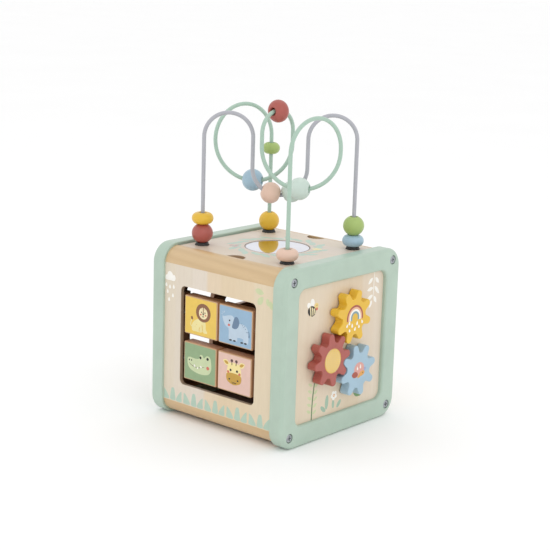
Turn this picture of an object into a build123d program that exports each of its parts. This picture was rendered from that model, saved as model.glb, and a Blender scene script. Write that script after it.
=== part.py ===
from build123d import *
from math import asin, atan2, cos, degrees, hypot, pi, radians, sin, sqrt
import os

os.makedirs("parts", exist_ok=True)

# Wooden activity cube for a baby.  Two painted end frames stand at -X and +X, four rounded
# rails and four panels run between them, and a lift-off lid with a mirror carries two bent
# wires with beads.  Millimetres, +Z up, -Y is the side with the four turning tiles, +X is
# the side with the gears.  The origin is on the ground under the middle of the whole toy.

# ---------------------------------------------------------------- driving dimensions
cube = 200.0              # height and depth of the end frames
length = 200.0            # over the outside faces of the end frames
frame_thick = 18.0
frame_band = 24.0         # width of the frame around its window
frame_corner = 22.0
window_corner = 10.0
outer_round = 4.0         # rounding of the frame's outer edge on its show face
window_round = 3.0
inner_round = 1.2
panel_recess = 5.0        # depth of the side panels behind the frame's face
side_panel_thick = 6.0
rebate_cover = 4.0        # how far the side panels run behind the frame's band
glue_gap = 0.3

proud = 3.0               # how far the frames stand out past rails, panels and lid
rail_radius = frame_corner - proud
panel_thick = 5.0
joint_drop = 20.0         # from the cube's top to where a rail meets the panel below it
tongue_drop = 12.0
lid_thick = 6.0
lid_corner = 2.0
lid_ledge = 6.0
lid_end_gap = 3.0
lid_side_gap = 0.3

screw_inset = 14.0        # screw axis from the cube's edges
screw_shank = 4.0
screw_clear = 4.4
screw_head = 9.4
screw_head_thick = 2.4
screw_head_round = 1.0
screw_cross = (1.4, 2.6, 0.55)   # depth, half length and half width of the cross recess
screw_seat = 10.6
screw_seat_depth = 2.8
screw_length = 35.0
screw_hole_spare = 2.0    # empty end of the hole past the screw

gear_teeth = 8
gear_tip_radius = 30.2
gear_root_radius = 20.4
gear_tip_half = 3.6
gear_base_half = 5.6
gear_tip_round = 3.8
gear_root_round = 3.2
gear_thick = 11.0
gear_front_round = 0.8
gear_running_gap = 0.3
washer_diameter = 16.0
washer_thick = 1.2
washer_bore_clear = 0.4   # radial
spindle = 8.0
spindle_clear = 0.08      # radial
spindle_in_gear = 7.5
spindle_end = 1.0         # spindle past its retainer
retainer_diameter = 18.0
retainer_thick = 3.0
gear_red_at = (-25.8, 91.0)      # Y, Z
gear_blue_at = (21.2, 70.2)
gear_yellow_at = (9.4, 134.0)
gear_red_phase = 6.4             # degrees

window_wide = 113.0       # opening for the tiles
window_high = 114.5
window_panel_corner = 6.0
tile_wide = 50.0
tile_high = 44.0
tile_deep = 14.0
tile_pitch_x = 52.4
tile_pitch_z = 53.4
tile_row_mid = 99.0
tile_setback = 1.0        # tile faces behind the panel's face
tile_round = 1.2
tile_rod = 5.0
tile_rod_clear = 0.08     # radial
cheek_thick = 8.0
cheek_gap = 1.5           # from the side of the window to the cheek
cheek_depth = 12.0
cheek_high = 98.0

sorter_circle = 24.0      # radius
sorter_triangle = 52.0    # side
sorter_hexagon = 18.5     # half of the width across flats
sorter_square = 44.0
sorter_corner = 2.5
sorter_y = 31.5
sorter_upper_z = 131.0
sorter_lower_z = 79.0

mirror_diameter = 72.4
mirror_thick = 2.0
mirror_pocket = 73.0
mirror_pocket_depth = 2.4
notch_radius = 12.0
notch_offset = 6.0        # finger notches from the middle, opposite ways front and back
notch_drop = 5.0

wire = 4.6
foot_x = 63.7
foot_y = 57.0
wire_tail = 5.0           # wire below the lid
collar_diameter = 16.6
collar_thick = 3.0
collar_slope = 1.4
collar_teeth = 16
collar_notch = (0.9, 2.2, 0.2)   # radius, height, and how far outside the edge it is centred
cap_diameter = 14.0
cap_thick = 3.5

bead_hole = 8.6
bead_lip = 0.8            # countersink at the ends of a bead's hole
round_bead = (24.0, 21.0)     # diameter, length along the hole
loop_bead = (25.0, 22.4)
flat_bead = (24.6, 13.0)
small_bead = (20.6, 13.2)
big_bead = (25.6, 18.4)
bead_gap = 0.2
high_bead_bottom = 291.0      # underside of the bead near the top of the back leg
dip_lean = 4.5                # degrees that the pair in the grey wire's dip sits to the right

# ---------------------------------------------------------------- sizes that follow
half = cube / 2
outer_x = length / 2
inner_x = outer_x - frame_thick
window = cube - 2 * frame_band
side_panel = window + 2 * rebate_cover
panel_face_x = outer_x - panel_recess
panel_back_x = panel_face_x - side_panel_thick
skin = half - proud                       # outer face of rails, panels and lid
seat = skin - rail_radius                 # where a rail's rounded edge ends
lid_top = cube - proud
lid_bottom = lid_top - lid_thick
joint_z = cube - joint_drop
screw_at = half - screw_inset
gear_back_x = panel_face_x + washer_thick + gear_running_gap
gear_front_x = gear_back_x + gear_thick
mid_x = (gear_front_x - outer_x) / 2      # the gears stand out, so the cube sits off centre
tile_axis_y = -(skin - tile_setback - tile_deep / 2)
cheek_x = window_wide / 2 + cheek_gap


def move_to_ground_origin(solid):
    return Pos(-mid_x, 0, 0) * solid


def save(solid, name):
    placed = move_to_ground_origin(solid)
    placed.label = name
    export_step(placed, f"parts/{name}.step")


def group(pieces):
    return Compound([solid for piece in pieces for solid in piece.solids()])


def box(x0, x1, y0, y1, z0, z1):
    middle = Pos((x0 + x1) / 2, (y0 + y1) / 2, (z0 + z1) / 2)
    return middle * Box(x1 - x0, y1 - y0, z1 - z0)


def along_x(radius, x0, x1, y, z):
    return Pos((x0 + x1) / 2, y, z) * Rot(0, 90, 0) * Cylinder(radius, x1 - x0)


def upright(radius, z0, z1, x, y):
    return Pos(x, y, (z0 + z1) / 2) * Cylinder(radius, z1 - z0)


def flip_y(solid):
    return solid.mirror(Plane.XZ)


def flip_z(solid):
    return Pos(0, 0, cube) * solid.mirror(Plane.XY)


def turn_half(solid):
    return Rot(0, 0, 180) * solid


# ---------------------------------------------------------------- end frames and screws
def corner_places():
    return [(y, half + z) for y in (-screw_at, screw_at) for z in (-screw_at, screw_at)]


def end_frame():
    with BuildPart() as frame:
        with BuildSketch(Plane.YZ.offset(inner_x)):
            with Locations((0, half)):
                RectangleRounded(cube, cube, frame_corner)
                RectangleRounded(window, window, window_corner, mode=Mode.SUBTRACT)
        extrude(amount=frame_thick)
        show_face = frame.faces().sort_by(Axis.X)[-1]
        fillet(show_face.outer_wire().edges(), outer_round)
        show_face = frame.faces().sort_by(Axis.X)[-1]
        fillet(show_face.inner_wires()[0].edges(), window_round)
        back_face = frame.faces().sort_by(Axis.X)[0]
        fillet(back_face.outer_wire().edges(), inner_round)
    rebate = box(inner_x, panel_face_x, -side_panel / 2, side_panel / 2,
                 half - side_panel / 2, half + side_panel / 2)
    solid = frame.part - rebate
    for y, z in corner_places():
        solid -= along_x(screw_clear / 2, inner_x, outer_x, y, z)
        solid -= along_x(screw_seat / 2, outer_x - screw_seat_depth, outer_x, y, z)
    return solid


def cross_recess(x, y, z):
    deep, reach, wide = screw_cross
    arm = box(x - deep, x, y - reach, y + reach, z - wide, z + wide)
    other_arm = box(x - deep, x, y - wide, y + wide, z - reach, z + reach)
    return arm + other_arm


def frame_screws():
    seat_x = outer_x - screw_seat_depth
    head_x = seat_x + screw_head_thick
    screws = []
    for y, z in corner_places():
        head = along_x(screw_head / 2, seat_x, head_x, y, z)
        head = fillet(head.edges().sort_by(Axis.X)[-1], screw_head_round)
        shank = along_x(screw_shank / 2, seat_x - screw_length, seat_x, y, z)
        screws.append(head + shank - cross_recess(head_x, y, z))
    return group(screws)


# ---------------------------------------------------------------- rails and plain panels
def rail_front_top():
    reach = sqrt(rail_radius ** 2 - (joint_z - (lid_top - rail_radius)) ** 2)
    start = (-seat - reach, joint_z)
    round_mid = (-seat - rail_radius * sin(pi / 4), lid_top - rail_radius * (1 - cos(pi / 4)))
    ledge_y = -seat + lid_ledge
    tongue_y = -(skin - panel_thick)
    with BuildPart() as rail:
        with BuildSketch(Plane.YZ.offset(-inner_x)):
            with BuildLine():
                ThreePointArc(start, round_mid, (-seat, lid_top))
                Polyline((-seat, lid_top), (-seat, lid_bottom), (ledge_y, lid_bottom),
                         (ledge_y, joint_z - tongue_drop), (tongue_y, joint_z - tongue_drop),
                         (tongue_y, joint_z), start)
            make_face()
        extrude(amount=2 * inner_x)
    solid = rail.part
    hole_depth = screw_length - (frame_thick - screw_seat_depth) + screw_hole_spare
    for end in (-1, 1):
        x0, x1 = sorted((end * inner_x, end * (inner_x - hole_depth)))
        solid -= along_x(screw_shank / 2, x0, x1, -screw_at, half + screw_at)
    return solid


def with_finger_recess(rail, x):
    reach_in = upright(notch_radius, lid_bottom - notch_drop, lid_bottom, x, -seat)
    keep_front = box(-length, length, -cube, -seat, 0, cube)
    return rail - (reach_in - keep_front)


def long_panel():
    low = cube - joint_z
    return box(-inner_x, inner_x, -skin, -skin + panel_thick, low, joint_z)


def front_panel():
    with BuildPart() as opening:
        with BuildSketch(Plane.XZ.offset(skin - panel_thick - 1)):
            with Locations((0, half)):
                RectangleRounded(window_wide, window_high, window_panel_corner)
        extrude(amount=panel_thick + 2)
    return long_panel() - opening.part


def base_panel():
    top = proud + lid_thick
    return box(-inner_x, inner_x, -seat + glue_gap, seat - glue_gap, proud, top)


# ---------------------------------------------------------------- turning tiles
def tile_centre(column, row):
    return (column * tile_pitch_x / 2, tile_axis_y, tile_row_mid + row * tile_pitch_z / 2)


def tile(column, row):
    x, y, z = tile_centre(column, row)
    body = fillet(Box(tile_wide, tile_deep, tile_high).edges(), tile_round)
    bore = along_x(tile_rod / 2 + tile_rod_clear, x - tile_wide, x + tile_wide, y, z)
    return Pos(x, y, z) * body - bore


def tile_rod_solid(row):
    reach = cheek_x + cheek_thick
    return along_x(tile_rod / 2, -reach, reach, tile_axis_y, tile_centre(0, row)[2])


def rod_cheek(side):
    x0, x1 = sorted((side * cheek_x, side * (cheek_x + cheek_thick)))
    back = -skin + panel_thick
    cheek = box(x0, x1, back, back + cheek_depth,
                tile_row_mid - cheek_high / 2, tile_row_mid + cheek_high / 2)
    for row in (-1, 1):
        cheek -= tile_rod_solid(row)
    return cheek


# ---------------------------------------------------------------- side panels
def side_panel_blank():
    size = side_panel - glue_gap
    return box(panel_back_x, panel_face_x, -size / 2, size / 2, half - size / 2, half + size / 2)


def sorter_holes():
    """The four holes in the +X side, before the panel is turned to the -X side."""
    triangle_radius = sorter_triangle / sqrt(3)
    triangle_z = sorter_upper_z - sorter_circle + triangle_radius / 2
    with BuildPart() as holes:
        with BuildSketch(Plane.YZ.offset(panel_back_x)) as shapes:
            with Locations((-sorter_y, triangle_z)):
                RegularPolygon(triangle_radius, 3, rotation=90)
            with Locations((-sorter_y, sorter_lower_z)):
                RegularPolygon(sorter_hexagon, 6, major_radius=False, rotation=30)
            with Locations((sorter_y, sorter_lower_z)):
                Rectangle(sorter_square, sorter_square)
            fillet(shapes.vertices(), sorter_corner)
            with Locations((sorter_y, sorter_upper_z)):
                Circle(sorter_circle)
        extrude(amount=side_panel_thick)
    return holes.part


def sorter_panel():
    return turn_half(side_panel_blank() - sorter_holes())


# ---------------------------------------------------------------- gears
def gear_places():
    """Centres (Y, Z) and phases of the three gears, so that the red one meshes with both."""
    places = {"gear_red": (gear_red_at, gear_red_phase)}
    half_pitch = 180.0 / gear_teeth
    for name, at in (("gear_yellow", gear_yellow_at), ("gear_blue", gear_blue_at)):
        angle = degrees(atan2(at[1] - gear_red_at[1], at[0] - gear_red_at[0]))
        places[name] = (at, 180 + 2 * angle - gear_red_phase + half_pitch)
    return places


def gear_outline(phase):
    base_at = sqrt(gear_root_radius ** 2 - gear_base_half ** 2)
    tooth = [(base_at, -gear_base_half), (gear_tip_radius, -gear_tip_half),
             (gear_tip_radius, gear_tip_half), (base_at, gear_base_half)]
    corners = []
    for k in range(gear_teeth):
        turn = radians(phase + k * 360 / gear_teeth)
        corners += [(x * cos(turn) - y * sin(turn), x * sin(turn) + y * cos(turn))
                    for x, y in tooth]
    face = make_face(Polyline(*corners, close=True))
    middle = (gear_tip_radius + gear_root_radius) / 2
    tips = [v for v in face.vertices() if hypot(v.X, v.Y) > middle]
    face = fillet(tips, gear_tip_round)
    roots = [v for v in face.vertices() if hypot(v.X, v.Y) < gear_root_radius + 0.5]
    return fillet(roots, gear_root_round)


def gear(centre, phase):
    y, z = centre
    outline = Plane.YZ.offset(gear_back_x) * Pos(y, z) * gear_outline(phase)
    solid = extrude(outline, gear_thick)
    front = [e for e in solid.edges() if abs(e.center().X - gear_front_x) < 0.01]
    solid = fillet(front, gear_front_round)
    return solid - along_x(spindle / 2, gear_back_x, gear_back_x + spindle_in_gear, y, z)


def gear_spindle(centre):
    y, z = centre
    x0 = panel_back_x - gear_running_gap - retainer_thick - spindle_end
    return along_x(spindle / 2, x0, gear_back_x + spindle_in_gear, y, z)


def gear_retainer(centre):
    y, z = centre
    x1 = panel_back_x - gear_running_gap
    disc = along_x(retainer_diameter / 2, x1 - retainer_thick, x1, y, z)
    return disc - along_x(spindle / 2, x1 - retainer_thick, x1, y, z)


def gear_panel():
    panel = side_panel_blank()
    for (y, z), _ in gear_places().values():
        panel -= along_x(spindle / 2 + spindle_clear, panel_back_x, panel_face_x, y, z)
    return panel


def gear_washers():
    front_x = panel_face_x + washer_thick
    rings = []
    for (y, z), _ in gear_places().values():
        ring = along_x(washer_diameter / 2, panel_face_x, front_x, y, z)
        rings.append(ring - along_x(spindle / 2 + washer_bore_clear, panel_face_x, front_x, y, z))
    return group(rings)


# ---------------------------------------------------------------- lid and mirror
def lid_panel():
    long_side = 2 * (inner_x - lid_end_gap)
    short_side = 2 * (seat - lid_side_gap)
    with BuildPart() as lid:
        with BuildSketch(Plane.XY.offset(lid_bottom)):
            RectangleRounded(long_side, short_side, lid_corner)
        extrude(amount=lid_thick)
        with BuildSketch(Plane.XY.offset(lid_top)):
            Circle(mirror_pocket / 2)
        extrude(amount=-mirror_pocket_depth, mode=Mode.SUBTRACT)
    solid = lid.part
    solid -= upright(notch_radius, lid_bottom, lid_top, notch_offset, -seat)
    solid -= upright(notch_radius, lid_bottom, lid_top, -notch_offset, seat)
    for x, y in feet().values():
        solid -= upright(wire / 2, lid_bottom, lid_top, x, y)
    return solid


def mirror():
    z0 = lid_top - mirror_pocket_depth
    return upright(mirror_diameter / 2, z0, z0 + mirror_thick, 0, 0)


# ---------------------------------------------------------------- bent wires
def feet():
    return {"left": (-foot_x, -foot_y), "right": (foot_x, foot_y),
            "front": (foot_x, -foot_y), "back": (-foot_x, foot_y)}


diagonal = hypot(foot_x, foot_y)


def across_and_along(u, v):
    """XY of a place given across (u) and along (v) the diagonal from the back foot to the front."""
    return ((foot_y * u + foot_x * v) / diagonal, (foot_x * u - foot_y * v) / diagonal)


def on_main_diagonal(w):
    """XY of a place on the line from the left foot to the right foot."""
    return (foot_x * w / diagonal, foot_y * w / diagonal)


# The grey wire: two arches with a dip between them, in one upright plane.  Each entry is the
# distance along the diagonal of an upright stretch, and below it the height of each bend's ends.
grey_uprights = (-diagonal, -30.8, 30.8, diagonal)
grey_bends = (320.5, 287.3, 320.5)

# The green wire: loops right, middle and left, from the front foot to the back foot.
green_uprights = ((0, diagonal), (60.3, 47.0), (-22.4, 11.5), (16.0, -19.0), (-69.0, -50.0),
                  (0, -diagonal))
green_bends = (316.0, 313.2, 327.0, 312.4, 312.4)


def bends(places, heights):
    """The semicircles of a wire: (start XY, end XY, height of both ends, +1 for an arch or -1)."""
    return [(places[i], places[i + 1], heights[i], 1 if i % 2 == 0 else -1)
            for i in range(len(heights))]


def grey_path():
    return bends([on_main_diagonal(w) for w in grey_uprights], grey_bends)


def green_path():
    return bends([across_and_along(u, v) for u, v in green_uprights], green_bends)


def bend_geometry(bend):
    (x0, y0), (x1, y1), z, way = bend
    radius = hypot(x1 - x0, y1 - y0) / 2
    centre = Vector((x0 + x1) / 2, (y0 + y1) / 2, z)
    heading = Vector(x1 - x0, y1 - y0, 0).normalized()
    return centre, heading, radius, way


def bent_wire(path):
    foot_z = lid_bottom - wire_tail
    solid = upright(wire / 2, foot_z, path[0][2], *path[0][0])
    for i, bend in enumerate(path):
        centre, heading, radius, way = bend_geometry(bend)
        start = centre - heading * radius
        top = centre + Vector(0, 0, way * radius)
        arc = ThreePointArc(start, top, centre + heading * radius)
        section = Plane(origin=start, z_dir=Vector(0, 0, 1)) * Circle(wire / 2)
        solid += sweep(section, path=arc)
        next_z = path[i + 1][2] if i + 1 < len(path) else foot_z
        low, high = sorted((bend[2], next_z))
        if high - low > 0.01:
            solid += upright(wire / 2, low, high, *bend[1])
    return solid


def wire_collar(x, y):
    radius = collar_diameter / 2
    notch_radius_here, notch_high, outside = collar_notch
    solid = Cone(radius, radius - collar_slope, collar_thick,
                 align=(Align.CENTER, Align.CENTER, Align.MIN))
    ring = Pos(x, y, lid_top) * solid
    ring -= upright(wire / 2, lid_top, lid_top + collar_thick, x, y)
    reach = radius + outside
    for k in range(collar_teeth):
        turn = 2 * pi * k / collar_teeth
        notch_at = (x + reach * cos(turn), y + reach * sin(turn))
        ring -= upright(notch_radius_here, lid_top, lid_top + notch_high, *notch_at)
    return ring


def wire_end_cap(x, y):
    cap = upright(cap_diameter / 2, lid_bottom - cap_thick, lid_bottom, x, y)
    return cap - upright(wire / 2, lid_bottom - cap_thick, lid_bottom, x, y)


# ---------------------------------------------------------------- beads
def bead(kind):
    diameter, span = kind
    mouth = bead_hole / 2 + bead_lip
    with BuildPart() as solid:
        with BuildSketch(Plane.XZ):
            with BuildLine():
                ThreePointArc((mouth, span / 2), (diameter / 2, 0), (mouth, -span / 2))
                Polyline((mouth, -span / 2), (bead_hole / 2, bead_lip - span / 2),
                         (bead_hole / 2, span / 2 - bead_lip), (mouth, span / 2))
            make_face()
        revolve(axis=Axis.Z)
    return solid.part


def bead_on_leg(kind, foot, bottom):
    x, y = feet()[foot]
    return Pos(x, y, bottom + kind[1] / 2) * bead(kind)


def bead_reach(kind, bend):
    """Distance from a bend's centre to a bead on it, with the wire evenly clear in its hole."""
    radius = bend_geometry(bend)[2]
    return radius - (kind[1] / 2) ** 2 / (4 * radius)


def bead_on_bend(kind, bend, angle):
    """A bead centred on a bend, turned by an angle in degrees from its lowest or highest point."""
    centre, heading, _, way = bend_geometry(bend)
    reach = bead_reach(kind, bend)
    turn = radians(angle)
    place = centre + heading * (reach * sin(turn)) + Vector(0, 0, way * reach * cos(turn))
    tangent = heading * cos(turn) - Vector(0, 0, way * sin(turn))
    return Plane(origin=place, z_dir=tangent) * bead(kind)


def touching_angle(kind, bend):
    """Half of the angle between two equal beads that all but touch on a bend."""
    side = kind[0] / 2 - bead_hole / 2 - bead_lip
    profile = (side ** 2 + (kind[1] / 2) ** 2) / (2 * side)
    offset = kind[0] / 2 - profile
    return degrees(asin((profile + bead_gap / 2) / (bead_reach(kind, bend) - offset)))


# ---------------------------------------------------------------- write every piece
right_frame = end_frame()
save(right_frame, "frame_right")
save(turn_half(right_frame), "frame_left")
save(frame_screws(), "frame_screws_right")
save(turn_half(frame_screws()), "frame_screws_left")

plain_rail = rail_front_top()
save(with_finger_recess(plain_rail, notch_offset), "rail_front_top")
save(flip_y(with_finger_recess(plain_rail, -notch_offset)), "rail_back_top")
save(flip_z(plain_rail), "rail_front_bottom")
save(flip_y(flip_z(plain_rail)), "rail_back_bottom")

save(front_panel(), "front_panel")
save(flip_y(long_panel()), "back_panel")
save(base_panel(), "base_panel")
save(sorter_panel(), "sorter_panel")
save(gear_panel(), "gear_panel")

for row, level in ((1, "upper"), (-1, "lower")):
    save(tile_rod_solid(row), f"tile_rod_{level}")
    for column, side in ((-1, "left"), (1, "right")):
        save(tile(column, row), f"tile_{level}_{side}")
save(rod_cheek(-1), "rod_cheek_left")
save(rod_cheek(1), "rod_cheek_right")

for name, (centre, phase) in gear_places().items():
    colour = name.split("_")[1]
    save(gear(centre, phase), name)
    save(gear_spindle(centre), f"spindle_{colour}")
    save(gear_retainer(centre), f"retainer_{colour}")
save(gear_washers(), "gear_washers")

save(lid_panel(), "lid_panel")
save(mirror(), "mirror")
save(bent_wire(grey_path()), "wire_grey")
save(bent_wire(green_path()), "wire_green")
save(group(wire_collar(x, y) for x, y in feet().values()), "wire_collars")
save(group(wire_end_cap(x, y) for x, y in feet().values()), "wire_end_caps")

leg_start = lid_top + collar_thick + bead_gap
save(bead_on_leg(round_bead, "left", leg_start), "bead_left_red")
save(bead_on_leg(flat_bead, "left", leg_start + round_bead[1] + bead_gap), "bead_left_yellow")
save(bead_on_leg(flat_bead, "right", leg_start), "bead_right_blue")
save(bead_on_leg(round_bead, "right", leg_start + flat_bead[1] + bead_gap), "bead_right_green")
save(bead_on_leg(flat_bead, "front", leg_start), "bead_front_peach")
save(bead_on_leg(round_bead, "back", leg_start), "bead_back_yellow")
save(bead_on_leg(small_bead, "back", high_bead_bottom), "bead_back_green")

dip = grey_path()[1]
apart = touching_angle(round_bead, dip)
save(bead_on_bend(round_bead, dip, dip_lean - apart), "bead_dip_peach")
save(bead_on_bend(round_bead, dip, dip_lean + apart), "bead_dip_mint")
loops = green_path()
save(bead_on_bend(loop_bead, loops[1], 0), "bead_loop_mint")
save(bead_on_bend(big_bead, loops[2], 0), "bead_loop_red")
save(bead_on_bend(loop_bead, loops[3], 0), "bead_loop_blue")
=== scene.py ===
import bmesh
import bpy
from math import atan2, cos, degrees, hypot, pi, radians, sin
from mathutils import Matrix, Vector


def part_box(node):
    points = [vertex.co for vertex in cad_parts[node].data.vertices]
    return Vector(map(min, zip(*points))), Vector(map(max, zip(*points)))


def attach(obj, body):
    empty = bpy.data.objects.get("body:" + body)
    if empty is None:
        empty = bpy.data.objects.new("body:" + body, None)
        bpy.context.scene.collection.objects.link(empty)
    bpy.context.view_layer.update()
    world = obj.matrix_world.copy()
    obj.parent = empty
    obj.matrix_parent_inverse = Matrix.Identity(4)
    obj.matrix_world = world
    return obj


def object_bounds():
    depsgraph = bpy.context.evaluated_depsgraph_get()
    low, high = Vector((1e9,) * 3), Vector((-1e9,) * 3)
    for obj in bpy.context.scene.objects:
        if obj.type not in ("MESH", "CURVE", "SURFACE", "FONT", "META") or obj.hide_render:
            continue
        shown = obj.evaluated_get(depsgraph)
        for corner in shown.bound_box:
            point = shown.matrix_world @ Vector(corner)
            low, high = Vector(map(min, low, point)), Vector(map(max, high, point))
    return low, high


# Looks of the wooden activity cube: wood, paint, wire and mirror finishes on the CAD nodes, and
# every printed picture as thin slabs of ink on the face that carries it.  Metres in the frame;
# the flat pictures are drawn in millimetres on their own face.

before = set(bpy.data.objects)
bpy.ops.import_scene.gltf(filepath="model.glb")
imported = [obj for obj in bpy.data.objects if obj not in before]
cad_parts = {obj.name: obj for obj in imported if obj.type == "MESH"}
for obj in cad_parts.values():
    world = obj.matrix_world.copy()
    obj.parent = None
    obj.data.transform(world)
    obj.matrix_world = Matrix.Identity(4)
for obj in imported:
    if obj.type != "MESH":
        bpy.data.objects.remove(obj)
cad_low, cad_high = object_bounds()

MM = 0.001
FRAME_BAND = 24.0    # width of an end frame round its window, in millimetres
CORE_DEPTH = 0.0007  # a board's finish ends this far behind its show face


def lowest(node):
    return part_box(node)[0]


def highest(node):
    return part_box(node)[1]


def middle(node):
    low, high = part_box(node)
    return (low + high) / 2


CUBE_X = (lowest("frame_left").x + highest("frame_right").x) / 2
CUBE_Z = (lowest("frame_right").z + highest("frame_right").z) / 2


# ---------------------------------------------------------------- colours
LIFT = 0.94          # the studio light lifts every colour, so each is made this much darker


def srgb(red, green, blue):
    """A screen colour of 0 to 255 a channel as the linear colour that shaders take."""
    def linear(value):
        share = value / 255
        return LIFT * (share / 12.92 if share <= 0.04045 else ((share + 0.055) / 1.055) ** 2.4)
    return (linear(red), linear(green), linear(blue), 1.0)


# ---------------------------------------------------------------- shader building blocks
class Shader:
    """One material and short ways to add nodes to it."""

    def __init__(self, name):
        self.material = bpy.data.materials.new(name)
        self.material.use_nodes = True
        self.nodes = self.material.node_tree.nodes
        self.links = self.material.node_tree.links
        self.surface = self.nodes["Principled BSDF"]
        self.place = self.nodes.new("ShaderNodeTexCoord").outputs["Object"]

    def link(self, source, target):
        self.links.new(source, target)

    def set(self, **sockets):
        for name, value in sockets.items():
            self.surface.inputs[name.replace("_", " ")].default_value = value

    def stretched(self, scale):
        """Object coordinates scaled differently along X, Y and Z."""
        mapping = self.nodes.new("ShaderNodeMapping")
        mapping.inputs["Scale"].default_value = scale
        self.link(self.place, mapping.inputs["Vector"])
        return mapping.outputs["Vector"]

    def noise(self, scale, detail=3.0, roughness=0.5, vector=None, distortion=0.0):
        node = self.nodes.new("ShaderNodeTexNoise")
        node.inputs["Scale"].default_value = scale
        node.inputs["Detail"].default_value = detail
        node.inputs["Roughness"].default_value = roughness
        node.inputs["Distortion"].default_value = distortion
        self.link(vector or self.place, node.inputs["Vector"])
        return node.outputs["Fac"]

    def between(self, source, low, high, source_low=0.3, source_high=0.7):
        """A value that goes from low to high while the source goes over its own range."""
        node = self.nodes.new("ShaderNodeMapRange")
        node.inputs["From Min"].default_value = source_low
        node.inputs["From Max"].default_value = source_high
        node.inputs["To Min"].default_value = low
        node.inputs["To Max"].default_value = high
        self.link(source, node.inputs["Value"])
        return node.outputs["Result"]

    def mix(self, factor, first, second):
        """Blend of two colours; each is a colour or a socket."""
        node = self.nodes.new("ShaderNodeMix")
        node.data_type = "RGBA"
        for socket, value in ((node.inputs[6], first), (node.inputs[7], second)):
            if isinstance(value, tuple):
                socket.default_value = value
            else:
                self.link(value, socket)
        self.link(factor, node.inputs[0])
        return node.outputs[2]

    def multiply(self, first, second):
        """Two colour sockets multiplied."""
        node = self.nodes.new("ShaderNodeMix")
        node.data_type = "RGBA"
        node.blend_type = "MULTIPLY"
        node.inputs[0].default_value = 1.0
        self.link(first, node.inputs[6])
        self.link(second, node.inputs[7])
        return node.outputs[2]

    def math(self, operation, first, second):
        node = self.nodes.new("ShaderNodeMath")
        node.operation = operation
        for socket, value in ((node.inputs[0], first), (node.inputs[1], second)):
            if isinstance(value, (int, float)):
                socket.default_value = value
            else:
                self.link(value, socket)
        return node.outputs[0]

    def edges(self, low=0.515, high=0.60):
        """One along convex edges and nothing elsewhere."""
        point = self.nodes.new("ShaderNodeNewGeometry").outputs["Pointiness"]
        return self.between(point, 0.0, 1.0, low, high)

    def bump(self, height, distance, strength=1.0, below=None):
        node = self.nodes.new("ShaderNodeBump")
        node.inputs["Strength"].default_value = strength
        node.inputs["Distance"].default_value = distance
        self.link(height, node.inputs["Height"])
        if below is not None:
            self.link(below, node.inputs["Normal"])
        return node.outputs["Normal"]

    def colour(self, socket):
        self.link(socket, self.surface.inputs["Base Color"])

    def roughness(self, socket):
        self.link(socket, self.surface.inputs["Roughness"])

    def normal(self, socket):
        self.link(socket, self.surface.inputs["Normal"])


CLEAR = (1.0, 1.0, 1.0, 1.0)


def shade(colour, factor):
    return tuple(channel * factor for channel in colour[:3]) + (1.0,)


GRAIN_ALONG = {"x": (1.0, 14.0, 14.0), "y": (14.0, 1.0, 14.0), "z": (14.0, 14.0, 1.0)}


def grain_height(s, along):
    """Fine fibres of wood along one axis, as a height from 0 to 1."""
    stretched = s.stretched(GRAIN_ALONG[along])
    return s.noise(110.0, detail=5.0, roughness=0.62, vector=stretched, distortion=0.25)


def growth_lines(s, along):
    """The wavy lines of flat-sawn wood, as a value from 0 to 1."""
    wave = s.nodes.new("ShaderNodeTexWave")
    wave.bands_direction = "DIAGONAL"
    wave.inputs["Scale"].default_value = 3.2
    wave.inputs["Distortion"].default_value = 5.0
    wave.inputs["Detail"].default_value = 3.0
    wave.inputs["Detail Scale"].default_value = 1.1
    s.link(s.stretched(GRAIN_ALONG[along]), wave.inputs["Vector"])
    return wave.outputs["Fac"]


def behind(s, axis, face_at, depth):
    """Nothing on the show face and one from a depth behind it on, along an axis."""
    split = s.nodes.new("ShaderNodeSeparateXYZ")
    s.link(s.place, split.inputs[0])
    inward = -depth if face_at > 0 else depth
    return s.between(split.outputs["XYZ".index(axis.upper())], 0.0, 1.0,
                     face_at + inward * 0.5, face_at + inward)


def wood(name, colour, along, contrast=0.10, gloss=0.42, coat=0.15, plank=None, lines=0.0, core=None):
    """Lacquered wood with its grain along one axis; core is (axis, face, colour of the raw inside)."""
    s = Shader(name)
    fibres = grain_height(s, along)
    figure = s.noise(16.0, detail=3.0, roughness=0.5, vector=s.stretched(GRAIN_ALONG[along]),
                     distortion=0.6)
    base = plank(s) if plank else s.mix(s.between(figure, 0.0, 1.0), colour, shade(colour, 1 - contrast))
    streak = (1 - 0.6 * contrast, 1 - 0.8 * contrast, 1 - contrast, 1.0)
    fibre = (1 - contrast, 1 - 1.1 * contrast, 1 - 1.3 * contrast, 1.0)
    grained = s.multiply(base, s.mix(s.between(figure, 0.0, 1.0), streak, CLEAR))
    grained = s.multiply(grained, s.mix(s.between(fibres, 0.0, 1.0, 0.3, 0.7), fibre, CLEAR))
    if lines:
        late = (1 - lines, 1 - 1.25 * lines, 1 - 1.6 * lines, 1.0)
        grained = s.multiply(grained, s.mix(growth_lines(s, along), late, CLEAR))
    grained = s.mix(s.math("MULTIPLY", s.edges(), 0.3), grained, shade(colour, 1.10))
    if core:
        axis, face_at, raw = core
        grained = s.mix(behind(s, axis, face_at, CORE_DEPTH), grained, raw)
    s.colour(grained)
    s.roughness(s.between(fibres, gloss + 0.06, gloss - 0.05))
    s.set(Coat_Weight=coat, Coat_Roughness=0.32)
    s.normal(s.bump(fibres, 0.00005, 0.6))
    return s.material


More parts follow.
